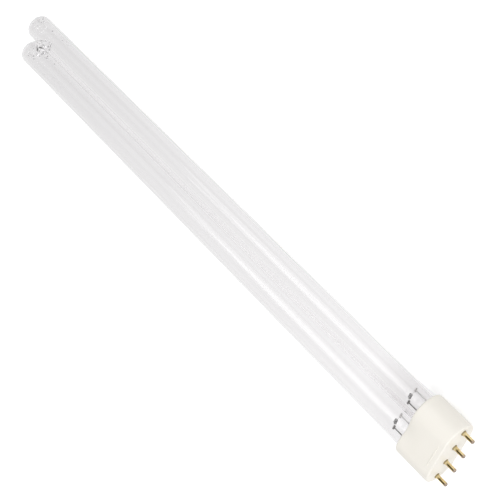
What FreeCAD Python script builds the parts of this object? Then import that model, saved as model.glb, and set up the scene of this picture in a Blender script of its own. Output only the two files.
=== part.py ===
import FreeCAD, Part
import math
import os

Vector = FreeCAD.Vector

# A twin-tube germicidal discharge lamp with one four-pin cap.
# The frame: the origin is the centre of the cap's end face, +X runs along the tubes towards their
# closed tips, Y runs along the row of pins, and +Z is square to the cap's broad side.
# All sizes are in millimetres.

# Lamp
overall_length = 411.0
pin_reach = 7.4

# Glass tubes
tube_diameter = 17.0
tube_wall = 1.0
tube_gap = 2.5
tube_foot = 10.0
crown_radius = 28.0
shoulder_radius = 3.4

# Glass bridge that joins the two tubes near their tips
bridge_from_tip = 12.5
bridge_diameter = 9.0
bridge_wall = 1.3
bridge_flare_radius = 10.0

# Glass stem that closes the foot of each tube
seal_gap = 0.02
stem_share_of_bore = 0.8
stem_wall = 0.9
stem_neck_top = 19.0
stem_closing_length = 2.0
flare_length = 4.0
press_top = 25.5
press_share_of_bore = 0.76
press_thickness = 2.6
press_edge_radius = 0.8
exhaust_diameter = 4.0
exhaust_wall = 0.8
exhaust_foot = 5.5
exhaust_hole_diameter = 1.6

# Electrodes
lead_pitch_share_of_bore = 0.62
inner_lead_diameter = 0.7
outer_lead_diameter = 0.6
lead_joint = 22.0
lead_top = 34.4
clamp_length = 2.2
clamp_diameter = 1.2
coil_diameter = 2.0
coil_groove_depth = 0.2
coil_turns = 8
coil_length_share_of_bore = 0.24
coil_rise = 0.9
coil_shift = 0.7
coil_leg_diameter = 0.3
coil_leg_tail = 0.3
wire_bend_radius = 4.0
wire_spread_length = 6.5
wire_spread_foot = 5.0

# Cap
cap_height = 24.2
cap_margin = 2.75
cap_end_radius = 0.9
cap_rim_radius = 1.2
cap_floor = 2.2
socket_clearance = 0.8
waist_depth = 2.0
waist_length = 12.0
waist_sections = 4
waist_points = 9
rib_length = 15.0
rib_radius = 0.45
rib_height = 0.35
rib_from_end = 3.4

# Cement that holds the tubes in the cap
cement_recess = 1.0

# Contact pins: the outer pins' collars stand this far inside the sockets' walls
pin_row_margin = 0.95
pin_diameter = 2.35
pin_bore = 0.7
pin_tip_radius = 0.7
pin_neck_length = 1.25
pin_neck_diameter = 2.9
pin_flange_diameter = 3.3
pin_flange_height = 0.35
pin_flange_seat = 0.25
pin_flange_clearance = 0.1
pin_shank_diameter = 2.2
pin_collar_diameter = 3.2
pin_collar_length = 0.6
pin_collar_chamfer = 0.2
pin_fit = 0.02

# Mercury dose: a bead's diameter and its distance from the tips, for each bead in a tube
mercury_beads = {"a": [(1.0, 9.0), (0.7, 21.0)], "b": [(1.2, 6.0), (0.8, 15.0), (0.6, 19.5)]}

# Sizes that follow from the ones above
tube_tip = overall_length - pin_reach
tube_radius = tube_diameter / 2
tube_bore_radius = tube_radius - tube_wall
stem_diameter = stem_share_of_bore * 2 * tube_bore_radius
press_width = press_share_of_bore * 2 * tube_bore_radius
lead_pitch = lead_pitch_share_of_bore * 2 * tube_bore_radius
coil_length = coil_length_share_of_bore * 2 * tube_bore_radius
coil_turn_pitch = coil_length / coil_turns
half_pitch = (tube_diameter + tube_gap) / 2
bridge_x = tube_tip - bridge_from_tip
cap_radius = tube_radius + cap_margin
socket_radius = tube_radius + socket_clearance
tube_centres = {"a": -half_pitch, "b": half_pitch}
outer_pin = half_pitch + socket_radius - pin_collar_diameter / 2 - pin_row_margin
pin_pitch = outer_pin * 2 / 3
pin_places = [(number - 1.5) * pin_pitch for number in range(4)]
lead_places = [centre + side * lead_pitch / 2 for centre in tube_centres.values() for side in (-1, 1)]


def line(start, end):
    return Part.LineSegment(start, end).toShape()


def arc(start, middle, end):
    return Part.Arc(start, middle, end).toShape()


def rod(diameter, start, end):
    """A round bar between two points."""
    along = end - start
    return Part.makeCylinder(diameter / 2, along.Length, start, along)


def turned(edges, centre_y):
    """A solid turned about the line along X at centre_y, from the edges of half its section."""
    face = Part.Face(Part.Wire(edges))
    return face.revolve(Vector(0, centre_y, 0), Vector(1, 0, 0), 360)


def turned_outline(points, centre_y):
    """A turned solid whose half section is straight-sided, from (x, radius) points."""
    corners = [Vector(x, centre_y, radius) for x, radius in points]
    edges = [line(start, end) for start, end in zip(corners, corners[1:] + corners[:1])]
    return turned(edges, centre_y)


def domed_rod(radius, shoulder, crown, tip, centre_y):
    """A round bar from the tubes' foot to the tip, with a rounded shoulder and a shallow crown."""
    reach = math.sqrt((crown - shoulder) ** 2 - (radius - shoulder) ** 2)
    crown_centre = Vector(tip - crown, centre_y, 0)
    shoulder_centre = crown_centre + Vector(reach, 0, radius - shoulder)
    outward = Vector(0, 0, 1)
    forward = Vector(1, 0, 0)
    shared = (shoulder_centre - crown_centre).normalize()
    shoulder_middle = shoulder_centre + (outward + shared).normalize() * shoulder
    crown_middle = crown_centre + (shared + forward).normalize() * crown
    foot_centre = Vector(tube_foot, centre_y, 0)
    foot_edge = Vector(tube_foot, centre_y, radius)
    wall_end = shoulder_centre + outward * shoulder
    meeting = crown_centre + shared * crown
    peak = Vector(tip, centre_y, 0)
    edges = [
        line(foot_centre, foot_edge),
        line(foot_edge, wall_end),
        arc(wall_end, shoulder_middle, meeting),
        arc(meeting, crown_middle, peak),
        line(peak, foot_centre),
    ]
    return turned(edges, centre_y)


def bridge_body():
    """The short cross tube's outside: a waisted bar that ends inside the walls of both tubes."""
    radius = bridge_diameter / 2
    wall_middle = tube_radius - tube_wall / 2
    root = half_pitch - math.sqrt(wall_middle ** 2 - radius ** 2)
    flare = bridge_flare_radius - math.sqrt(bridge_flare_radius ** 2 - root ** 2)
    left = Vector(bridge_x, -root, radius + flare)
    waist = Vector(bridge_x, 0, radius)
    right = Vector(bridge_x, root, radius + flare)
    left_centre = Vector(bridge_x, -root, 0)
    right_centre = Vector(bridge_x, root, 0)
    edges = [
        line(left_centre, left),
        arc(left, waist, right),
        line(right, right_centre),
        line(right_centre, left_centre),
    ]
    face = Part.Face(Part.Wire(edges))
    return face.revolve(Vector(bridge_x, 0, 0), Vector(0, 1, 0), 360)


def glass_envelope():
    """Both tubes and their bridge: one blown and fused glass body, open at the two feet."""
    outside = bridge_body()
    bridge_bore = bridge_diameter - 2 * bridge_wall
    inside = rod(bridge_bore, Vector(bridge_x, -half_pitch, 0), Vector(bridge_x, half_pitch, 0))
    for centre in tube_centres.values():
        outer = domed_rod(tube_radius, shoulder_radius, crown_radius, tube_tip, centre)
        inner = domed_rod(
            tube_bore_radius,
            shoulder_radius - tube_wall,
            crown_radius - tube_wall,
            tube_tip - tube_wall,
            centre,
        )
        outside = outside.fuse(outer)
        inside = inside.fuse(inner)
    return outside.cut(inside)


def lead_holes(centre):
    """The wires' passages through one stem, for the inner and the outer leads."""
    holes = []
    for side in (-1, 1):
        y = centre + side * lead_pitch / 2
        joint = Vector(lead_joint, y, 0)
        above = Vector(press_top + seal_gap, y, 0)
        below = Vector(stem_neck_top - 2 * stem_wall, y, 0)
        holes.append(rod(inner_lead_diameter + 2 * seal_gap, joint, above))
        holes.append(rod(outer_lead_diameter + 2 * seal_gap, below, joint))
    return holes


def stem(centre):
    """The glass mount of one tube: a flared skirt, a neck, the flat press and the exhaust tube."""
    neck = stem_diameter / 2
    skirt = tube_bore_radius - seal_gap
    shoulder = tube_foot + flare_length
    closed = stem_neck_top + stem_closing_length
    body = turned_outline(
        [
            (tube_foot, 0),
            (tube_foot, skirt),
            (shoulder, neck),
            (stem_neck_top, neck),
            (closed, press_thickness / 2),
            (closed, 0),
        ],
        centre,
    )
    ceiling = stem_neck_top - stem_wall
    hollow = turned_outline(
        [
            (tube_foot - stem_wall, 0),
            (tube_foot - stem_wall, skirt - stem_wall),
            (tube_foot, skirt - stem_wall),
            (shoulder, neck - stem_wall),
            (ceiling, neck - stem_wall),
            (ceiling, 0),
        ],
        centre,
    )
    press_foot = ceiling + stem_wall / 2
    corner = Vector(press_foot, centre - press_width / 2, -press_thickness / 2)
    press = Part.makeBox(press_top - press_foot, press_width, press_thickness, corner)
    upright_edges = [edge for edge in press.Edges if edge.BoundBox.XLength > press_edge_radius]
    press = press.makeFillet(press_edge_radius, upright_edges)
    exhaust_radius = exhaust_diameter / 2
    exhaust_start = Vector(exhaust_foot + exhaust_radius, centre, 0)
    exhaust_end = Vector(press_foot, centre, 0)
    exhaust = rod(exhaust_diameter, exhaust_start, exhaust_end)
    exhaust_tip = Part.makeSphere(exhaust_radius, exhaust_start)
    bore = exhaust_diameter - 2 * exhaust_wall
    passage = rod(bore, exhaust_start, Vector(stem_neck_top, centre, 0))
    passage_tip = Part.makeSphere(bore / 2, exhaust_start)
    outlet_start = Vector(stem_neck_top - exhaust_wall, centre, 0)
    outlet_end = outlet_start + Vector(1, 0, 1) * stem_diameter / 2
    outlet = rod(exhaust_hole_diameter, outlet_start, outlet_end)
    glass = body.fuse(press).cut(hollow).fuse([exhaust, exhaust_tip])
    return glass.cut([passage, passage_tip, outlet] + lead_holes(centre))


def inner_lead(y):
    """A nickel wire from inside the press up to the clamp that grips the filament's leg."""
    top = Vector(lead_top, y, 0)
    wire = rod(inner_lead_diameter, Vector(lead_joint, y, 0), top)
    reach = Vector(0, clamp_length / 2, 0)
    clamp = rod(clamp_diameter, top - reach, top + reach)
    grip = rod(coil_leg_diameter + 2 * seal_gap, top - reach * 2, top + reach * 2)
    return wire.fuse(clamp).cut(grip)


def coil_body(centre):
    """The coated filament coil, with its turns as rings along Y."""
    outer = coil_diameter / 2
    groove = outer - coil_groove_depth
    middle = centre + coil_shift
    height = lead_top + coil_rise
    start_y = middle - coil_length / 2
    start = Vector(height, start_y, 0)
    end = Vector(height, start_y + coil_length, 0)
    edges = [line(end, start), line(start, start + Vector(0, 0, groove))]
    for turn in range(coil_turns):
        y = start_y + turn * coil_turn_pitch
        low = Vector(height, y, groove)
        crest = Vector(height, y + coil_turn_pitch / 2, outer)
        edges.append(arc(low, crest, low + Vector(0, coil_turn_pitch, 0)))
    edges.append(line(end + Vector(0, 0, groove), end))
    face = Part.Face(Part.Wire(edges))
    return face.revolve(start, Vector(0, 1, 0), 360)


def filament(centre):
    """One tungsten filament: the coil and its two legs, which run through the clamps."""
    solid = coil_body(centre)
    for side in (-1, 1):
        hold = clamp_length / 2 + coil_leg_tail
        clamp_centre = Vector(lead_top, centre + side * lead_pitch / 2, 0)
        outer_end = clamp_centre + Vector(0, side * hold, 0)
        inner_end = clamp_centre - Vector(0, side * hold, 0)
        reach = side * (coil_length / 2 - coil_leg_diameter)
        coil_end = Vector(lead_top + coil_rise, centre + coil_shift + reach, 0)
        knee = Part.makeSphere(coil_leg_diameter / 2, inner_end)
        straight = rod(coil_leg_diameter, outer_end, inner_end)
        slant = rod(coil_leg_diameter, inner_end, coil_end)
        solid = solid.fuse([knee, straight, slant])
    return solid


def bent_wire(points, diameter):
    """A round wire along straight runs with a smooth bend at each corner."""
    edges = []
    start = points[0]
    for before, corner, after in zip(points, points[1:], points[2:]):
        back = (before - corner).normalize()
        ahead = (after - corner).normalize()
        half_angle = back.getAngle(ahead) / 2
        setback = wire_bend_radius / math.tan(half_angle)
        bulge = wire_bend_radius / math.sin(half_angle) - wire_bend_radius
        bend_start = corner + back * setback
        bend_end = corner + ahead * setback
        bend_middle = corner + (back + ahead).normalize() * bulge
        edges.append(line(start, bend_start))
        edges.append(arc(bend_start, bend_middle, bend_end))
        start = bend_end
    edges.append(line(start, points[-1]))
    section = Part.Wire(Part.makeCircle(diameter / 2, points[0], points[1] - points[0]))
    return Part.Wire(edges).makePipeShell([section], True, False)


def outer_lead(lead_y, pin_y):
    """A copper wire from the press down to the tip of its hollow pin."""
    spread_top = wire_spread_foot + wire_spread_length
    points = [
        Vector(lead_joint, lead_y, 0),
        Vector(spread_top, lead_y, 0),
        Vector(wire_spread_foot, pin_y, 0),
        Vector(pin_tip_radius / 2 - pin_reach, pin_y, 0),
    ]
    return bent_wire(points, outer_lead_diameter)


def contact_pin(y):
    """A hollow brass pin with a rounded tip, a tapered neck, a flange and a swaged inner collar."""
    radius = pin_diameter / 2
    bore = pin_bore / 2
    flange = pin_flange_diameter / 2
    neck = pin_neck_diameter / 2
    shank = pin_shank_diameter / 2
    collar = pin_collar_diameter / 2
    neck_start = -pin_flange_height - pin_neck_length
    tip_centre = Vector(pin_tip_radius - pin_reach, y, radius - pin_tip_radius)
    collar_end = cap_floor + pin_collar_length
    tip_inner = tip_centre - Vector(pin_tip_radius, 0, 0)
    tip_outer = tip_centre + Vector(0, 0, pin_tip_radius)
    tip_middle = tip_centre + Vector(-1, 0, 1).normalize() * pin_tip_radius
    corners = [
        tip_outer,
        Vector(neck_start, y, radius),
        Vector(-pin_flange_height, y, neck),
        Vector(-pin_flange_height, y, flange),
        Vector(pin_flange_seat, y, flange),
        Vector(pin_flange_seat, y, shank),
        Vector(cap_floor, y, shank),
        Vector(cap_floor, y, collar),
        Vector(collar_end - pin_collar_chamfer, y, collar),
        Vector(collar_end, y, collar - pin_collar_chamfer),
        Vector(collar_end, y, bore),
        Vector(-pin_reach, y, bore),
        tip_inner,
    ]
    edges = [line(start, end) for start, end in zip(corners, corners[1:])]
    edges.append(arc(tip_inner, tip_middle, tip_outer))
    return turned(edges, y)


def broad_side(x, side, depth):
    """One long side of the cap's section: straight, or with a smooth hollow between the tubes."""
    points = []
    for step in range(waist_points):
        across = 2 * step / (waist_points - 1) - 1
        hollow = depth * (1 + math.cos(math.pi * across)) / 2
        points.append(Vector(x, side * half_pitch * across, side * (cap_radius - hollow)))
    curve = Part.BSplineCurve()
    forward = Vector(0, side, 0)
    curve.interpolate(Points=points, InitialTangent=forward, FinalTangent=forward)
    return curve.toShape()


def half_round(x, side):
    """One end of the cap's section: the half circle around a tube."""
    top = Vector(x, side * half_pitch, cap_radius)
    outermost = Vector(x, side * (half_pitch + cap_radius), 0)
    bottom = Vector(x, side * half_pitch, -cap_radius)
    return arc(top, outermost, bottom)


def cap_section(x, depth):
    """The cap's outline at one height."""
    edges = [broad_side(x, 1, depth), half_round(x, 1), broad_side(x, -1, depth), half_round(x, -1)]
    return Part.Wire(edges)


def edges_at(shape, x):
    """The edges of a shape that lie in the plane square to X at this place."""
    found = []
    for edge in shape.Edges:
        box = edge.BoundBox
        if abs(box.XMin - x) < seal_gap and abs(box.XMax - x) < seal_gap:
            found.append(edge)
    return found


def rounded_block():
    """The cap's outside: straight-sided at the pins, with a waist between the tubes at the rim."""
    waist_start = cap_height - waist_length
    foot = Part.Face(cap_section(0, 0)).extrude(Vector(waist_start, 0, 0))
    sections = []
    for step in range(waist_sections):
        progress = step / (waist_sections - 1)
        sections.append(cap_section(waist_start + progress * waist_length, waist_depth * progress ** 2))
    block = foot.fuse(Part.makeLoft(sections, True, False))
    block = block.makeFillet(cap_end_radius, edges_at(block, 0))
    return block.makeFillet(cap_rim_radius, edges_at(block, cap_height))


def latch_ribs():
    """A low rounded rib on each broad side, which the lamp's holder snaps over."""
    half_straight = rib_length / 2 - rib_radius
    ribs = []
    for side in (-1, 1):
        centre = Vector(rib_from_end, 0, side * (cap_radius + rib_height - rib_radius))
        left = centre - Vector(0, half_straight, 0)
        right = centre + Vector(0, half_straight, 0)
        ribs.append(rod(2 * rib_radius, left, right))
        ribs.append(Part.makeSphere(rib_radius, left))
        ribs.append(Part.makeSphere(rib_radius, right))
    return ribs


def cap_shell():
    """The moulded plastic cap: two deep sockets for the tubes, a floor and four pin holes."""
    cuts = []
    for centre in tube_centres.values():
        floor = Vector(cap_floor, centre, 0)
        cuts.append(rod(2 * socket_radius, floor, Vector(cap_height + cap_margin, centre, 0)))
    for y in pin_places:
        outside = Vector(-cap_floor, y, 0)
        seat = Vector(pin_flange_seat, y, 0)
        inside = Vector(2 * cap_floor, y, 0)
        cuts.append(rod(pin_shank_diameter + 2 * pin_fit, outside, inside))
        cuts.append(rod(pin_flange_diameter + 2 * pin_flange_clearance, outside, seat))
    return rounded_block().cut(cuts).fuse(latch_ribs())


def basing_cement(centre):
    """The ring of cement between one tube and its socket in the cap."""
    start = Vector(tube_foot, centre, 0)
    end = Vector(cap_height - cement_recess, centre, 0)
    ring = rod(2 * (socket_radius - seal_gap), start, end)
    return ring.cut(rod(2 * (tube_radius + seal_gap), start, end))


def mercury_dose():
    """The lamp's mercury: beads that lie along the lowest line of each tube near its tip."""
    beads = []
    for tube, centre in tube_centres.items():
        for diameter, from_tip in mercury_beads[tube]:
            radius = diameter / 2
            lowest = -tube_bore_radius + seal_gap
            beads.append(Part.makeSphere(radius, Vector(tube_tip - from_tip, centre, lowest + radius)))
    return Part.makeCompound(beads)


def build():
    """Every piece of the lamp by its name."""
    pieces = {
        "glass_envelope": glass_envelope(),
        "cap_shell": cap_shell(),
        "mercury_beads": mercury_dose(),
    }
    for tube, centre in tube_centres.items():
        pieces["stem_" + tube] = stem(centre)
        pieces["filament_" + tube] = filament(centre)
        pieces["basing_cement_" + tube] = basing_cement(centre)
    for number, (lead_y, pin_y) in enumerate(zip(lead_places, pin_places), 1):
        pieces["inner_lead_%d" % number] = inner_lead(lead_y)
        pieces["outer_lead_%d" % number] = outer_lead(lead_y, pin_y)
        pieces["contact_pin_%d" % number] = contact_pin(pin_y)
    return pieces


os.makedirs("parts", exist_ok=True)
for name, shape in build().items():
    box = shape.BoundBox
    print(name, shape.isValid(), len(shape.Solids), round(shape.Volume, 2))
    print("   ", [round(value, 2) for value in (box.XMin, box.XMax, box.YMin, box.YMax, box.ZMin, box.ZMax)])
    shape.exportStep("parts/%s.step" % name)
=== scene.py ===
import math
import random

import bpy
from mathutils import Matrix, Quaternion, Vector


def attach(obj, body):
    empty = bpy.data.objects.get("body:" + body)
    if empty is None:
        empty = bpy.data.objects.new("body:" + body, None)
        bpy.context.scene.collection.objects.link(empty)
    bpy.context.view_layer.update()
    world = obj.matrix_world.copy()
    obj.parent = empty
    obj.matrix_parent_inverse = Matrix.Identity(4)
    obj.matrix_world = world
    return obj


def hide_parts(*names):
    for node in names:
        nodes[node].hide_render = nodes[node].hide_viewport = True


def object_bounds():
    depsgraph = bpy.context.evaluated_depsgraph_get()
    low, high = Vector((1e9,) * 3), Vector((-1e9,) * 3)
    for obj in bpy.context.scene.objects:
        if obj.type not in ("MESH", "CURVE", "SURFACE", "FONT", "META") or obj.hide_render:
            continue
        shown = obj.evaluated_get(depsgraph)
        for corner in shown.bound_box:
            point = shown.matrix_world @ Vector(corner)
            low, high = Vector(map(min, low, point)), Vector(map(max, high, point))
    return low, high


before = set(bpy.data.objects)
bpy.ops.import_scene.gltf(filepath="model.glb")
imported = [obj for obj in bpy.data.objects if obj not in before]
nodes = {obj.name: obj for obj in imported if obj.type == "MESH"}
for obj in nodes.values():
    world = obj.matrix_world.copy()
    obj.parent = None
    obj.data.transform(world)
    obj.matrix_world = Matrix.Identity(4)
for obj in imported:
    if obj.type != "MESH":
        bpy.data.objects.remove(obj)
cad_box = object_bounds()

# The lamp's own sizes, in metres. The tubes run along X, side by side in Y.
TUBE_RADIUS = 0.0085
TUBE_WALL = 0.001
TUBE_SPACING = 0.0195
TUBE_FOOT = 0.010
TUBE_TIP = 0.4036
CROWN_RADIUS = 0.028
SHOULDER_RADIUS = 0.0034
BRIDGE_X = 0.3911
BRIDGE_RADIUS = 0.0045
BRIDGE_WALL = 0.0013
BRIDGE_FLARE = 0.010
BRIDGE_RINGS = 12
TUBE_SIDES = {"a": -TUBE_SPACING / 2, "b": TUBE_SPACING / 2}
TUBE_SEGMENTS = 96
DOME_RINGS = 10

# Extra rings of a tube's wall, from the bridge's axis. The fused joints are sharp edges within a reach of it.
WALL_RINGS = (-0.012, -0.008, -0.004, 0.0, 0.004)
JOINT_REACH = 0.008
JOINT_ANGLE = math.radians(30)
JOINT_ROUNDING = 0.0004
JOINT_STEPS = 3

# A dome's last ring is narrower than the distance at which points merge, so it closes into one point
LAST_RING = 0.00001
MERGE_DISTANCE = 0.00002

# Electrodes: in each tube a coil hangs by two legs between two clamps.
CLAMP_X = 0.0344
CLAMP_SPACING = 0.0093
CLAMP_LENGTH = 0.0022
LEG_TAIL = 0.0003
LEG_WIRE = 0.0001
LEG_SIDES = 10
COIL_X = 0.0353
COIL_SHIFT = 0.0007
COIL_LENGTH = 0.0031
COIL_RADIUS = 0.00095
COIL_TURNS = 4
COIL_STRAND = 0.0002
COIL_STEPS = 28
STRAND_SIDES = 12

# Where a leg bends up to the coil: nearer the cap than the coil, beyond its end, and up by a share of its radius
BEND_NEARER = 0.0002
BEND_BEYOND = 0.0003
BEND_RISE = 0.4

# Mercury: each bead's diameter and its distance from the tips, as it lies on the glass
BEADS = {"a": [(0.0010, 0.009), (0.0007, 0.021)], "b": [(0.0012, 0.006), (0.0008, 0.015), (0.0006, 0.0195)]}

# Fine droplets on the inside of the glass: tube, how many, distance from the tip, degrees from +Y towards +Z
MISTS = [
    ("b", 95, (0.006, 0.018), (100, 200)),
    ("b", 26, (0.004, 0.012), (215, 290)),
    ("a", 34, (0.009, 0.019), (-35, 60)),
    ("a", 20, (0.0035, 0.009), (100, 190)),
]

# Forms of a drop of radius 1: segments, rings and height. It is lifted by a share of its height, and what is
# still below the foot is pressed flat. On the glass it keeps a gap, as a share of its radius.
BEAD_FORM = (20, 14, 0.9)
DROPLET_FORM = (8, 6, 0.6)
DROP_LIFT = 0.92
DROP_FOOT = 0.1
DROP_GAP = 0.02

# Droplet radii: the smallest, how much larger the largest is, and a power that makes most of them small
DROPLET_SMALLEST = 0.00014
DROPLET_SPREAD = 0.00040
DROPLET_POWER = 3
MIST_SEED = 36

# The grey deposit near the electrodes: where along X it starts and is full, and its strength in tubes a and b
DEPOSIT_REACH = (0.062, 0.036)
DEPOSIT_STRENGTH = (1.0, 0.35)

# Contact pins: their spacing, and on the brass the angle round the pin of a dark reflection painted along it,
# the angles off it where that fades and is full, and the stretches of X where the painted reflection, the
# painted root shade and the scorched tip set in
PIN_PITCH = 0.011
PAINTED_REFLECTION_ANGLE = 1.92
PAINTED_REFLECTION_EDGE = (0.65, 0.30)
PAINTED_REFLECTION_START = (-0.0008, -0.0024)
PAINTED_ROOT_SHADE = (-0.0012, -0.0002)
SCORCHED_TIP = (-0.0056, -0.0069)
PAINTED_REFLECTION_STRENGTH = 0.98
ROOT_SHADE_STRENGTH = 0.7
TIP_STRENGTH = 0.8

# Scales of the lines (along, across) and of the grain (fine, coarse) in each material, per metre
GLASS_LINES = (3.0, 260.0)
GLASS_GRAIN = (300.0, 40.0)
BRASS_LINES = (120.0, 2400.0)
BRASS_GRAIN = (2500.0, 300.0)
MERCURY_GRAIN = (6000.0, 900.0)
FINISH_GRAIN = (900.0, 90.0)

# The spans in which noise mostly lies: of the grain, of the lines, and where mercury goes from filmed to bright
GRAIN_SPAN = (0.3, 0.7)
LINES_SPAN = (0.35, 0.65)
FILM_SPAN = (0.42, 0.56)

# The surface relief: its strength and depth
FINISH_RELIEF = (0.1, 0.00005)
BRASS_RELIEF = (0.06, 0.00003)

# From smoothest to roughest, and mercury's colours
BRASS_ROUGH = (0.10, 0.20)
MERCURY_ROUGH = (0.03, 0.12)
MERCURY_FILMED = (0.09, 0.09, 0.095)
MERCURY_BRIGHT = (0.92, 0.92, 0.93)

# Fused quartz: how it bends light, and how much of a lamp's light it lets through
QUARTZ_IOR = 1.46
LAMPLIGHT_THROUGH = 0.94

# Light levels, where 1 is white
WORLD_LIGHT = 0.5
FLOOR_WHITE = 0.8
FLOOR_LIFT = 0.45
# Seen through the glass the floor has painted shade: this bright by the cap, this dim at the tips
FLOOR_SHADE_THROUGH_GLASS = (0.965, 0.78)

# The side of the room that metal sees dim: its direction, how squarely it is faced where it sets in and is full
DIM_TOWARDS = (0.45, -0.89, -0.05)
DIM_EDGE = (0.70, 0.95)
DIM_SIDE = 0.55

# The floor: a square so wide, its middle so far along X
FLOOR_SIZE = 6
FLOOR_MIDDLE = 0.2

# How many times light may turn inside the glass: at the fused joints it takes many turns to get out
GLASS_TURNS = 40

# Soft boxes: place, target, width, height, watts, twist in degrees, and whether glass and metal mirror the box
SOFT_BOXES = {
    "key": ((0.72, -1.19, 1.07), (0.72, 0, 0), 1.0, 1.5, 4.8, 14, True),
    "fill": ((-0.9, 0.35, 1.3), (0.1, 0, 0), 1.4, 1.2, 9.8, 0, True),
    "front": ((-1.1, -0.95, 0.6), (0, 0, 0), 1.0, 0.8, 8.2, 0, True),
    "back": ((2.2, 0.5, 1.0), (0.05, 0, 0), 0.8, 0.8, 9.0, 0, False),
}

# The photograph's camera: its axes, place and lens in millimetres
CAMERA_RIGHT = Vector((-0.61942, -0.32685, -0.71378))
CAMERA_DOWN = Vector((-0.6197, 0.76175, 0.18896))
CAMERA_AHEAD = Vector((0.48196, 0.55938, -0.6744))
CAMERA_PLACE = (-0.172955, -0.398051, 0.477346)
CAMERA_LENS = 87.38
CAMERA_SENSOR = 36
CAMERA_NEAREST = 0.01


# Camera


def place_camera():
    """The photograph's viewpoint: from beside the cap, looking down along the tubes."""
    data = bpy.data.cameras.new("camera")
    camera = bpy.data.objects.new("camera", data)
    bpy.context.scene.collection.objects.link(camera)
    turn = Matrix((CAMERA_RIGHT, -CAMERA_DOWN, -CAMERA_AHEAD)).transposed()
    camera.matrix_world = Matrix.Translation(CAMERA_PLACE) @ turn.to_4x4()
    data.sensor_width = CAMERA_SENSOR
    data.lens = CAMERA_LENS
    data.clip_start = CAMERA_NEAREST
    bpy.context.scene.camera = camera


# Shader helpers


def new_material(name):
    material = bpy.data.materials.new(name)
    material.use_nodes = True
    return material, material.node_tree, material.node_tree.nodes["Principled BSDF"]


def add(tree, kind, **values):
    """A node with the settings and socket values given. In a socket's name an underscore stands for a space."""
    node = tree.nodes.new(kind)
    for key, value in values.items():
        if hasattr(node, key):
            setattr(node, key, value)
        else:
            node.inputs[key.replace("_", " ")].default_value = value
    return node


def feed(tree, socket, value):
    """A socket takes another node's output, a colour or a plain number."""
    if isinstance(value, bpy.types.NodeSocket):
        tree.links.new(value, socket)
    elif isinstance(value, tuple):
        socket.default_value = (*value, 1)
    else:
        socket.default_value = value


def remapped(tree, value, low, high, to_low, to_high):
    node = add(tree, "ShaderNodeMapRange", From_Min=low, From_Max=high, To_Min=to_low, To_Max=to_high)
    tree.links.new(value, node.inputs["Value"])
    return node.outputs["Result"]


def mixed(tree, mask, first, second, kind="RGBA"):
    """The first colour or, for the kind FLOAT, number where the mask is 0, and the second where it is 1."""
    mix = add(tree, "ShaderNodeMix", data_type=kind)
    feed(tree, mix.inputs["Factor"], mask)
    feed(tree, mix.inputs["A"], first)
    feed(tree, mix.inputs["B"], second)
    return mix.outputs["Result"]


def math_node(tree, operation, *values):
    node = add(tree, "ShaderNodeMath", operation=operation)
    for socket, value in zip(node.inputs, values):
        feed(tree, socket, value)
    return node.outputs[0]


def any_of(tree, first, second):
    """1 where one of two masks is 1."""
    return math_node(tree, "MAXIMUM", first, second)


def picked_shader(tree, mask, first, second):
    """The first shader where the mask is 0, and the second where it is 1."""
    pick = tree.nodes.new("ShaderNodeMixShader")
    for socket, value in zip(pick.inputs, (mask, first, second)):
        tree.links.new(value, socket)
    return pick.outputs["Shader"]


def object_place(tree):
    """A point's X, Y and Z on its object's own axes, as sockets."""
    place = tree.nodes.new("ShaderNodeTexCoord")
    split = tree.nodes.new("ShaderNodeSeparateXYZ")
    tree.links.new(place.outputs["Object"], split.inputs["Vector"])
    return split.outputs["X"], split.outputs["Y"], split.outputs["Z"]


def new_group(name, inputs, outputs):
    """A node group whose sockets are all numbers: the inputs with their values, and the outputs."""
    group = bpy.data.node_groups.new(name, "ShaderNodeTree")
    for label, value in inputs.items():
        socket = group.interface.new_socket(name=label, in_out="INPUT", socket_type="NodeSocketFloat")
        socket.default_value = value
    for label in outputs:
        group.interface.new_socket(name=label, in_out="OUTPUT", socket_type="NodeSocketFloat")
    return group, group.nodes.new("NodeGroupInput"), group.nodes.new("NodeGroupOutput")


def fine_grain_group():
    """Two sizes of soft mottling on the object's own coordinates: a height and a mask."""
    group, start, end = new_group("fine grain", {"Scale": 400.0, "Coarse Scale": 60.0}, ["Height", "Mottle"])
    place = group.nodes.new("ShaderNodeTexCoord")
    fine = add(group, "ShaderNodeTexNoise", Detail=3.0, Roughness=0.6)
    coarse = add(group, "ShaderNodeTexNoise", Detail=2.0, Roughness=0.5)
    group.links.new(place.outputs["Object"], fine.inputs["Vector"])
    group.links.new(place.outputs["Object"], coarse.inputs["Vector"])
    group.links.new(start.outputs["Scale"], fine.inputs["Scale"])
    group.links.new(start.outputs["Coarse Scale"], coarse.inputs["Scale"])
    group.links.new(fine.outputs["Fac"], end.inputs["Height"])
    group.links.new(coarse.outputs["Fac"], end.inputs["Mottle"])
    return group


def drawn_lines_group():
    """Fine lines along X, as on pulled glass and drawn metal: 0 in the dark ones, 1 in the light ones."""
    group, start, end = new_group("drawn lines", {"Along": 3.0, "Across": 260.0}, ["Lines"])
    place = group.nodes.new("ShaderNodeTexCoord")
    pull = group.nodes.new("ShaderNodeCombineXYZ")
    group.links.new(start.outputs["Along"], pull.inputs["X"])
    group.links.new(start.outputs["Across"], pull.inputs["Y"])
    group.links.new(start.outputs["Across"], pull.inputs["Z"])
    stretch = add(group, "ShaderNodeVectorMath", operation="MULTIPLY")
    group.links.new(place.outputs["Object"], stretch.inputs[0])
    group.links.new(pull.outputs["Vector"], stretch.inputs[1])
    noise = add(group, "ShaderNodeTexNoise", Scale=1.0, Detail=2.0, Roughness=0.5)
    group.links.new(stretch.outputs["Vector"], noise.inputs["Vector"])
    group.links.new(remapped(group, noise.outputs["Fac"], *LINES_SPAN, 0.0, 1.0), end.inputs["Lines"])
    return group


def bumped(tree, height, strength, depth):
    bump = add(tree, "ShaderNodeBump", Strength=strength, Distance=depth)
    tree.links.new(height, bump.inputs["Height"])
    return bump.outputs["Normal"]


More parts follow.
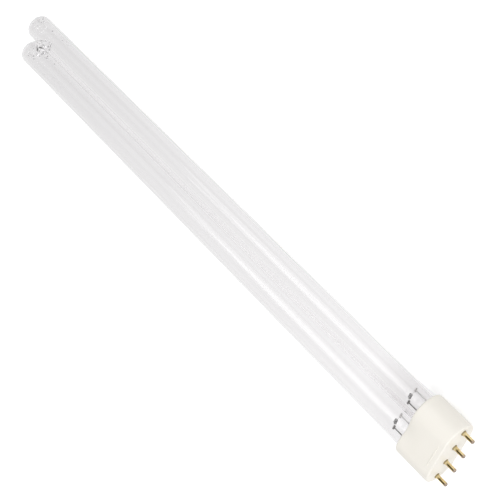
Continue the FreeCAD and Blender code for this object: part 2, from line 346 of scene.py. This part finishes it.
def grain_in(tree, scale, coarse_scale):
    return add(tree, "ShaderNodeGroup", node_tree=fine_grain, Scale=scale, Coarse_Scale=coarse_scale)


def lines_in(tree, along, across):
    return add(tree, "ShaderNodeGroup", node_tree=drawn_lines, Along=along, Across=across).outputs["Lines"]


# Materials


def mottled_finish(name, light, dark, rough, metallic=0.0):
    """A solid finish with slight changes of colour, roughness and surface."""
    material, tree, shader = new_material(name)
    pattern = grain_in(tree, *FINISH_GRAIN)
    tree.links.new(mixed(tree, pattern.outputs["Mottle"], dark, light), shader.inputs["Base Color"])
    tree.links.new(remapped(tree, pattern.outputs["Height"], *GRAIN_SPAN, *rough), shader.inputs["Roughness"])
    tree.links.new(bumped(tree, pattern.outputs["Height"], *FINISH_RELIEF), shader.inputs["Normal"])
    shader.inputs["Metallic"].default_value = metallic
    return material


def lamp_glass(name, light, dark, rough, greyed):
    """Clear glass with faint streaks along the tubes, greyed at the electrodes. Lamps shine through it."""
    material, tree, shader = new_material(name)
    x, y, _ = object_place(tree)
    near_coil = remapped(tree, x, *DEPOSIT_REACH, 0.0, 1.0)
    of_tube = remapped(tree, y, -TUBE_SPACING / 4, TUBE_SPACING / 4, *DEPOSIT_STRENGTH)
    deposit = math_node(tree, "MULTIPLY", near_coil, of_tube)
    clear = mixed(tree, lines_in(tree, *GLASS_LINES), dark, light)
    tree.links.new(mixed(tree, deposit, clear, greyed), shader.inputs["Base Color"])
    mottle = grain_in(tree, *GLASS_GRAIN).outputs["Mottle"]
    tree.links.new(remapped(tree, mottle, *GRAIN_SPAN, *rough), shader.inputs["Roughness"])
    shader.inputs["Transmission Weight"].default_value = 1.0
    shader.inputs["IOR"].default_value = QUARTZ_IOR
    path = tree.nodes.new("ShaderNodeLightPath")
    let_through = tree.nodes.new("ShaderNodeBsdfTransparent")
    feed(tree, let_through.inputs["Color"], (LAMPLIGHT_THROUGH,) * 3)
    shadow = path.outputs["Is Shadow Ray"]
    surface = picked_shader(tree, shadow, shader.outputs["BSDF"], let_through.outputs["BSDF"])
    tree.links.new(surface, tree.nodes["Material Output"].inputs["Surface"])
    return material


def liquid_mercury(name):
    """Mercury: some drops bright, some filmed over and dark."""
    material, tree, shader = new_material(name)
    pattern = grain_in(tree, *MERCURY_GRAIN)
    bright = remapped(tree, pattern.outputs["Mottle"], *FILM_SPAN, 0.0, 1.0)
    tree.links.new(mixed(tree, bright, MERCURY_FILMED, MERCURY_BRIGHT), shader.inputs["Base Color"])
    roughness = remapped(tree, pattern.outputs["Height"], *GRAIN_SPAN, *MERCURY_ROUGH)
    tree.links.new(roughness, shader.inputs["Roughness"])
    shader.inputs["Metallic"].default_value = 1.0
    return material


def pin_angle(tree, y, z):
    """The angle round the nearest pin of the row, from +Y towards +Z."""
    across = math_node(tree, "SUBTRACT", math_node(tree, "WRAP", y, PIN_PITCH, 0.0), PIN_PITCH / 2)
    return math_node(tree, "ARCTAN2", z, across)


def brass_with_painted_shade(name, light, dark, painted_shade, scorched):
    """Drawn brass: fine lines along the pin, a dark reflection painted along it, shade painted at its root, and
    a scorched tip.
    """
    material, tree, shader = new_material(name)
    lines = lines_in(tree, *BRASS_LINES)
    x, y, z = object_place(tree)
    # A dark reflection is painted along one side of each pin, from just past its root towards its tip.
    off_painted_reflection = math_node(tree, "ABSOLUTE", math_node(tree, "SUBTRACT", pin_angle(tree, y, z), PAINTED_REFLECTION_ANGLE))
    across_painted_reflection = remapped(tree, off_painted_reflection, *PAINTED_REFLECTION_EDGE, 0.0, 1.0)
    down_pin = remapped(tree, x, *PAINTED_REFLECTION_START, 0.0, PAINTED_REFLECTION_STRENGTH)
    painted_reflection = math_node(tree, "MULTIPLY", across_painted_reflection, down_pin)
    colour = mixed(tree, lines, dark, light)
    colour = mixed(tree, painted_reflection, colour, painted_shade)
    # Shade is painted round each pin's root, where it meets the cap.
    colour = mixed(tree, remapped(tree, x, *PAINTED_ROOT_SHADE, 0.0, ROOT_SHADE_STRENGTH), colour, painted_shade)
    colour = mixed(tree, remapped(tree, x, *SCORCHED_TIP, 0.0, TIP_STRENGTH), colour, scorched)
    tree.links.new(colour, shader.inputs["Base Color"])
    mottle = grain_in(tree, *BRASS_GRAIN).outputs["Mottle"]
    tree.links.new(remapped(tree, mottle, *GRAIN_SPAN, *BRASS_ROUGH), shader.inputs["Roughness"])
    tree.links.new(bumped(tree, lines, *BRASS_RELIEF), shader.inputs["Normal"])
    shader.inputs["Metallic"].default_value = 1.0
    return material


# Modelling helpers


def deselect_all():
    if bpy.context.object and bpy.context.object.mode != "OBJECT":
        bpy.ops.object.mode_set(mode="OBJECT")
    bpy.ops.object.select_all(action="DESELECT")


def activate(piece):
    deselect_all()
    piece.select_set(True)
    bpy.context.view_layer.objects.active = piece


def settle(piece):
    """The piece's place goes into its mesh, and its object to the origin."""
    activate(piece)
    bpy.ops.object.transform_apply(location=True, rotation=True, scale=True)


def disc(name, sides, radius, place, turn):
    """A round face, lying flat unless it is turned."""
    deselect_all()
    bpy.ops.mesh.primitive_circle_add(
        vertices=sides, radius=radius, fill_type="NGON", location=place, rotation=turn
    )
    piece = bpy.context.object
    piece.name = name
    settle(piece)
    return piece


def edit_all():
    """Edit mode, with all of the active mesh picked."""
    bpy.ops.object.mode_set(mode="EDIT")
    bpy.ops.mesh.select_all(action="SELECT")


def face_outwards():
    """The last step in edit mode: every face is turned outwards."""
    bpy.ops.mesh.select_all(action="SELECT")
    bpy.ops.mesh.normals_make_consistent(inside=False)
    bpy.ops.object.mode_set(mode="OBJECT")


def apply_boolean(piece, other, operation):
    """The other piece is added to a piece or cut from it, and used up."""
    activate(piece)
    modifier = piece.modifiers.new("cut", "BOOLEAN")
    modifier.operation = operation
    modifier.solver = "EXACT"
    modifier.object = other
    bpy.ops.object.modifier_apply(modifier=modifier.name)
    bpy.data.objects.remove(other)


def smooth(piece, degrees):
    activate(piece)
    bpy.ops.object.shade_smooth_by_angle(angle=math.radians(degrees))


def soften_joints(piece):
    """Fused glass has no sharp corners: the edges where the bridge meets the tubes are rounded."""
    activate(piece)
    bpy.ops.object.mode_set(mode="EDIT")
    bpy.ops.mesh.select_mode(type="EDGE")
    bpy.ops.mesh.select_all(action="DESELECT")
    bpy.ops.mesh.edges_select_sharp(sharpness=JOINT_ANGLE)
    bpy.ops.object.mode_set(mode="OBJECT")
    mesh = piece.data
    for edge in mesh.edges:
        ends = [mesh.vertices[index].co for index in edge.vertices]
        if any(abs(end.x - BRIDGE_X) > JOINT_REACH for end in ends):
            edge.select = False
    for vertex in mesh.vertices:
        vertex.select = False
    for edge in mesh.edges:
        if edge.select:
            for index in edge.vertices:
                mesh.vertices[index].select = True
    bpy.ops.object.mode_set(mode="EDIT")
    bpy.ops.mesh.bevel(offset=JOINT_ROUNDING, segments=JOINT_STEPS, affect="EDGES", clamp_overlap=True)
    bpy.ops.mesh.select_mode(type="VERT")
    bpy.ops.object.mode_set(mode="OBJECT")


def dome_profile(radius, shoulder, crown, tip):
    """(x, radius) of each ring of a tube's closed end, from the wall to just before the pole."""
    reach = math.sqrt((crown - shoulder) ** 2 - (radius - shoulder) ** 2)
    shoulder_x = tip - crown + reach
    meeting = math.atan2(radius - shoulder, reach)
    rings = []
    for step in range(DOME_RINGS + 1):
        angle = math.pi / 2 + (meeting - math.pi / 2) * step / DOME_RINGS
        rings.append((shoulder_x + shoulder * math.cos(angle), radius - shoulder + shoulder * math.sin(angle)))
    for step in range(1, DOME_RINGS):
        angle = meeting * (1 - step / DOME_RINGS)
        rings.append((tip - crown + crown * math.cos(angle), crown * math.sin(angle)))
    rings.append((tip, LAST_RING))
    return rings


def tube_dome(inset):
    """The rings of a tube's closed end, with its surface set in by so much."""
    return dome_profile(TUBE_RADIUS - inset, SHOULDER_RADIUS - inset, CROWN_RADIUS - inset, TUBE_TIP - inset)


def drawn_bar(name, rings, centre_y):
    """A closed round bar along X, extruded ring by ring from a disc."""
    x, radius = rings[0]
    bar = disc(name, TUBE_SEGMENTS, radius, (x, centre_y, 0), (0, math.pi / 2, 0))
    edit_all()
    for next_x, next_radius in rings[1:]:
        bpy.ops.mesh.extrude_region_move(TRANSFORM_OT_translate={"value": (next_x - x, 0, 0)})
        factor = next_radius / radius
        bpy.ops.transform.resize(value=(1, factor, factor), center_override=(next_x, centre_y, 0))
        x, radius = next_x, next_radius
    bpy.ops.mesh.select_all(action="SELECT")
    bpy.ops.mesh.remove_doubles(threshold=MERGE_DISTANCE)
    face_outwards()
    return bar


def tube_bar(name, inset, centre_y):
    """The solid form of one tube, with its whole surface set in by so much."""
    radius = TUBE_RADIUS - inset
    wall = [(TUBE_FOOT - inset, radius)] + [(BRIDGE_X + shift, radius) for shift in WALL_RINGS]
    return drawn_bar(name, wall + tube_dome(inset), centre_y)


def bridge_bar(name, radius, flare, half_length):
    """A round bar along Y between the two tubes, waisted where a flare radius is given."""
    rings = []
    for step in range(BRIDGE_RINGS + 1):
        along = half_length * (2 * step / BRIDGE_RINGS - 1)
        rings.append((along, radius + flare - math.sqrt(flare ** 2 - along ** 2) if flare else radius))
    bar = drawn_bar(name, rings, 0)
    bar.rotation_euler = (0, 0, math.pi / 2)
    settle(bar)
    bar.location = (BRIDGE_X, 0, 0)
    settle(bar)
    return bar


def glass_tubes():
    """The two tubes and their bridge, one blown glass body with an open foot at each tube."""
    wall_middle = TUBE_RADIUS - TUBE_WALL / 2
    root = TUBE_SPACING / 2 - math.sqrt(wall_middle ** 2 - BRIDGE_RADIUS ** 2)
    body = bridge_bar("glass_tubes", BRIDGE_RADIUS, BRIDGE_FLARE, root)
    for y in TUBE_SIDES.values():
        apply_boolean(body, tube_bar("outer", 0, y), "UNION")
    for y in TUBE_SIDES.values():
        apply_boolean(body, tube_bar("inner", TUBE_WALL, y), "DIFFERENCE")
    bore = bridge_bar("bore", BRIDGE_RADIUS - BRIDGE_WALL, 0, TUBE_SPACING / 2 - TUBE_WALL * 4)
    apply_boolean(body, bore, "DIFFERENCE")
    soften_joints(body)
    smooth(body, 40)
    return body


def wire_run(name, points, radius):
    """A thin round wire, extruded from corner to corner. Its first run is along Y."""
    wire = disc(name, LEG_SIDES, radius, points[0], (math.pi / 2, 0, 0))
    edit_all()
    for start, end in zip(points, points[1:]):
        move = Vector(end) - Vector(start)
        bpy.ops.mesh.extrude_region_move(TRANSFORM_OT_translate={"value": move})
    face_outwards()
    return wire


def wound_strand(name, centre_y):
    """The coil itself: one coated strand wound round a line along Y."""
    strand = disc(name, STRAND_SIDES, COIL_STRAND, (0, 0, 0), (0, math.pi / 2, 0))
    edit_all()
    bpy.ops.mesh.delete(type="ONLY_FACE")
    bpy.ops.mesh.select_all(action="SELECT")
    bpy.ops.transform.translate(value=(0, 0, COIL_RADIUS - COIL_STRAND))
    bpy.ops.object.mode_set(mode="OBJECT")
    winding = strand.modifiers.new("winding", "SCREW")
    winding.axis = "Y"
    winding.screw_offset = (COIL_LENGTH - 2 * COIL_STRAND) / COIL_TURNS
    winding.iterations = COIL_TURNS
    winding.steps = COIL_STEPS
    winding.render_steps = COIL_STEPS
    bpy.ops.object.modifier_apply(modifier=winding.name)
    bpy.ops.object.mode_set(mode="EDIT")
    bpy.ops.mesh.select_all(action="DESELECT")
    bpy.ops.mesh.select_non_manifold()
    bpy.ops.mesh.edge_face_add()
    face_outwards()
    strand.location = (COIL_X, centre_y - COIL_LENGTH / 2 + COIL_STRAND, 0)
    settle(strand)
    return strand


def joined(name, pieces):
    """Several pieces made one."""
    activate(pieces[0])
    for piece in pieces:
        piece.select_set(True)
    bpy.ops.object.join()
    pieces[0].name = name
    return pieces[0]


def hung_coil(side, coating, bare):
    """One filament: its coil, and a leg at each end that runs through its clamp."""
    centre = TUBE_SIDES[side]
    coil = wound_strand("coil", centre + COIL_SHIFT)
    coil.data.materials.append(coating)
    pieces = [coil]
    hold = CLAMP_LENGTH / 2 + LEG_TAIL
    for way in (-1, 1):
        clamp = centre + way * CLAMP_SPACING / 2
        coil_end = centre + COIL_SHIFT + way * (COIL_LENGTH / 2 - COIL_STRAND)
        points = [
            (CLAMP_X, clamp + way * hold, 0),
            (CLAMP_X, clamp - way * hold, 0),
            (COIL_X - BEND_NEARER, coil_end + way * BEND_BEYOND, COIL_RADIUS * BEND_RISE),
            (COIL_X, coil_end, COIL_RADIUS - COIL_STRAND),
        ]
        leg = wire_run("leg", points, LEG_WIRE)
        leg.data.materials.append(bare)
        pieces.append(leg)
    filament = joined("coated_filament_" + side, pieces)
    smooth(filament, 50)
    return filament


def bore_radius_at(x):
    """How far the inside of the glass is from a tube's centre line."""
    rings = [(0, TUBE_RADIUS - TUBE_WALL)] + tube_dome(TUBE_WALL)
    for (x0, r0), (x1, r1) in zip(rings, rings[1:]):
        if x0 <= x <= x1:
            return r0 + (r1 - r0) * (x - x0) / (x1 - x0)
    return 0.0


def drop_form(name, segments, rings, height):
    """A drop of radius 1 that sits on the plane Z = 0: a ball pressed flat underneath."""
    deselect_all()
    bpy.ops.mesh.primitive_uv_sphere_add(segments=segments, ring_count=rings, radius=1)
    drop = bpy.context.object
    drop.name = name
    edit_all()
    bpy.ops.transform.resize(value=(1, 1, height))
    bpy.ops.transform.translate(value=(0, 0, height * DROP_LIFT))
    bpy.ops.mesh.select_all(action="DESELECT")
    bpy.ops.object.mode_set(mode="OBJECT")
    for vertex in drop.data.vertices:
        vertex.select = vertex.co.z < height * DROP_FOOT
    bpy.ops.object.mode_set(mode="EDIT")
    bpy.ops.transform.resize(value=(1, 1, 0), center_override=(0, 0, 0))
    bpy.ops.object.mode_set(mode="OBJECT")
    return drop


def drop_at(form, side, x, degrees, radius):
    """A copy of a drop on the inside of a tube. The angle is from +Y towards +Z."""
    angle = math.radians(degrees)
    outward = Vector((0, math.cos(angle), math.sin(angle)))
    wall = bore_radius_at(x) - radius * DROP_GAP
    foot = Vector((x, TUBE_SIDES[side], 0)) + outward * wall
    drop = form.copy()
    drop.data = form.data.copy()
    bpy.context.scene.collection.objects.link(drop)
    turn = (-outward).to_track_quat("Z", "X").to_matrix().to_4x4()
    drop.matrix_world = Matrix.Translation(foot) @ turn @ Matrix.Scale(radius, 4)
    return drop


def mercury_dose():
    """The loose beads at the bottom of the tubes, and the mist of fine droplets round the bridge."""
    chance = random.Random(MIST_SEED)
    bead = drop_form("bead", *BEAD_FORM)
    speck = drop_form("speck", *DROPLET_FORM)
    drops = []
    for side, beads in BEADS.items():
        for diameter, from_tip in beads:
            drops.append(drop_at(bead, side, TUBE_TIP - from_tip, -90, diameter / 2))
    for side, count, reach, span in MISTS:
        for _ in range(count):
            from_tip = chance.uniform(*reach)
            degrees = chance.uniform(*span)
            radius = DROPLET_SMALLEST + DROPLET_SPREAD * chance.random() ** DROPLET_POWER
            drops.append(drop_at(speck, side, TUBE_TIP - from_tip, degrees, radius))
    bpy.data.objects.remove(bead)
    bpy.data.objects.remove(speck)
    dose = joined("mercury_drops", drops)
    settle(dose)
    smooth(dose, 60)
    return dose


# Lights and floor


def studio_floor(floor_z):
    """A plain white table. It takes the lamp's soft shadow, and metal and glass mirror it white. Seen through
    the glass it has painted shade, deeper towards the tubes' tips.
    """
    deselect_all()
    bpy.ops.mesh.primitive_plane_add(size=FLOOR_SIZE, location=(FLOOR_MIDDLE, 0, floor_z))
    floor = bpy.context.object
    floor.name = "floor"
    settle(floor)
    material = bpy.data.materials.new("studio_floor")
    material.use_nodes = True
    tree = material.node_tree
    tree.nodes.clear()
    output = tree.nodes.new("ShaderNodeOutputMaterial")
    path = tree.nodes.new("ShaderNodeLightPath")
    diffuse = tree.nodes.new("ShaderNodeBsdfDiffuse")
    feed(tree, diffuse.inputs["Color"], (FLOOR_WHITE,) * 3)
    lift = tree.nodes.new("ShaderNodeEmission")
    tree.links.new(remapped(tree, path.outputs["Is Camera Ray"], 0, 1, 0.0, FLOOR_LIFT), lift.inputs["Strength"])
    lit = tree.nodes.new("ShaderNodeAddShader")
    tree.links.new(diffuse.outputs[0], lit.inputs[0])
    tree.links.new(lift.outputs[0], lit.inputs[1])
    white = tree.nodes.new("ShaderNodeEmission")
    through_glass = path.outputs["Is Transmission Ray"]
    # Painted shade on the floor as seen through the glass, dimmer towards the tubes' tips.
    along = remapped(tree, object_place(tree)[0], 0.0, TUBE_TIP, *FLOOR_SHADE_THROUGH_GLASS)
    tree.links.new(mixed(tree, through_glass, 1.0, along, "FLOAT"), white.inputs["Strength"])
    mirrored = any_of(tree, path.outputs["Is Glossy Ray"], through_glass)
    surface = picked_shader(tree, mirrored, lit.outputs[0], white.outputs[0])
    tree.links.new(surface, output.inputs["Surface"])
    floor.data.materials.append(material)


def studio_world():
    """An even soft light from all round. The camera and glass see it white, metal sees one side dim."""
    world = bpy.data.worlds.new("studio")
    bpy.context.scene.world = world
    world.use_nodes = True
    tree = world.node_tree
    background = tree.nodes["Background"]
    feed(tree, background.inputs["Color"], (1, 1, 1))
    path = tree.nodes.new("ShaderNodeLightPath")
    seen = any_of(tree, path.outputs["Is Camera Ray"], path.outputs["Is Transmission Ray"])
    plain = remapped(tree, seen, 0, 1, WORLD_LIGHT, 1.0)
    place = tree.nodes.new("ShaderNodeTexCoord")
    facing = add(tree, "ShaderNodeVectorMath", operation="DOT_PRODUCT")
    facing.inputs[1].default_value = DIM_TOWARDS
    tree.links.new(place.outputs["Generated"], facing.inputs[0])
    graded = remapped(tree, facing.outputs["Value"], *DIM_EDGE, 1.0, DIM_SIDE)
    level = mixed(tree, path.outputs["Is Glossy Ray"], plain, graded, "FLOAT")
    tree.links.new(level, background.inputs["Strength"])


def soft_box(name, place, target, width, height, watts, twist, mirrored):
    """A flat soft light, turned towards a target and twisted about its own axis."""
    data = bpy.data.lights.new(name, "AREA")
    data.shape = "RECTANGLE"
    data.size = width
    data.size_y = height
    data.energy = watts
    light = bpy.data.objects.new(name, data)
    bpy.context.scene.collection.objects.link(light)
    direction = Vector(target) - Vector(place)
    aim = direction.to_track_quat("-Z", "Y") @ Quaternion((0, 0, 1), math.radians(twist))
    light.rotation_euler = aim.to_euler()
    light.location = place
    light.visible_glossy = mirrored
    light.visible_transmission = mirrored


# The scene

place_camera()
fine_grain = fine_grain_group()
drawn_lines = drawn_lines_group()

glass = lamp_glass(
    "clear_tube_glass", (0.99, 0.985, 0.987), (0.955, 0.947, 0.951), (0.015, 0.05), (0.90, 0.889, 0.892)
)
stem_glass = lamp_glass(
    "flame_worked_glass", (0.96, 0.96, 0.96), (0.93, 0.93, 0.93), (0.02, 0.08), (0.93, 0.93, 0.93)
)
ivory = mottled_finish("ivory_cap_plastic", (0.90, 0.87, 0.805), (0.88, 0.845, 0.775), (0.36, 0.46))
# The fourth colour is painted shade: the dark reflection painted along each pin and the shade painted at its
# root.
brass = brass_with_painted_shade(
    "drawn_brass", (0.90, 0.76, 0.46), (0.72, 0.56, 0.27), (0.06, 0.042, 0.009), (0.32, 0.25, 0.215)
)
# A darker copy of the nickel wire, used for two of the inner leads: painted shade.
nickel = mottled_finish("nickel_wire_painted_shade", (0.26, 0.25, 0.24), (0.16, 0.155, 0.15), (0.4, 0.6), 1.0)
bright_nickel = mottled_finish("bright_nickel_wire", (0.74, 0.73, 0.72), (0.52, 0.51, 0.50), (0.3, 0.45), 1.0)
copper = mottled_finish("copper_wire", (0.85, 0.5, 0.36), (0.7, 0.38, 0.26), (0.25, 0.4), 1.0)
oxide = mottled_finish("oxide_coated_coil", (0.12, 0.115, 0.11), (0.05, 0.048, 0.045), (0.6, 0.8))
cement = mottled_finish("basing_cement", (0.84, 0.82, 0.76), (0.76, 0.73, 0.66), (0.8, 0.95))
tungsten = mottled_finish("bare_tungsten_wire", (0.62, 0.61, 0.60), (0.46, 0.45, 0.44), (0.3, 0.45), 1.0)
mercury = liquid_mercury("liquid_mercury")

finishes = {
    "stem": stem_glass,
    "filament": oxide,
    "basing_cement": cement,
    "inner_lead": nickel,
    "inner_lead_1": bright_nickel,
    "inner_lead_3": bright_nickel,
    "outer_lead": copper,
    "contact_pin": brass,
    "cap_shell": ivory,
    "mercury_beads": mercury,
    "glass_envelope": glass,
}
for name, node in nodes.items():
    for start, finish in finishes.items():
        if name.startswith(start):
            for material_slot in node.material_slots:
                material_slot.material = finish

tubes = glass_tubes()
tubes.data.materials.append(glass)
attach(tubes, "root")
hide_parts("glass_envelope")

for side in TUBE_SIDES:
    filament = hung_coil(side, oxide, tungsten)
    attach(filament, "root")
    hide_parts("filament_" + side)

dose = mercury_dose()
dose.data.materials.append(mercury)
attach(dose, "root")
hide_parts("mercury_beads")

studio_floor(cad_box[0][2])
studio_world()
for name, box in SOFT_BOXES.items():
    soft_box(name, *box)

bpy.context.scene.view_settings.view_transform = "Standard"
light_paths = bpy.context.scene.cycles
light_paths.max_bounces = GLASS_TURNS
light_paths.transmission_bounces = GLASS_TURNS
light_paths.glossy_bounces = GLASS_TURNS
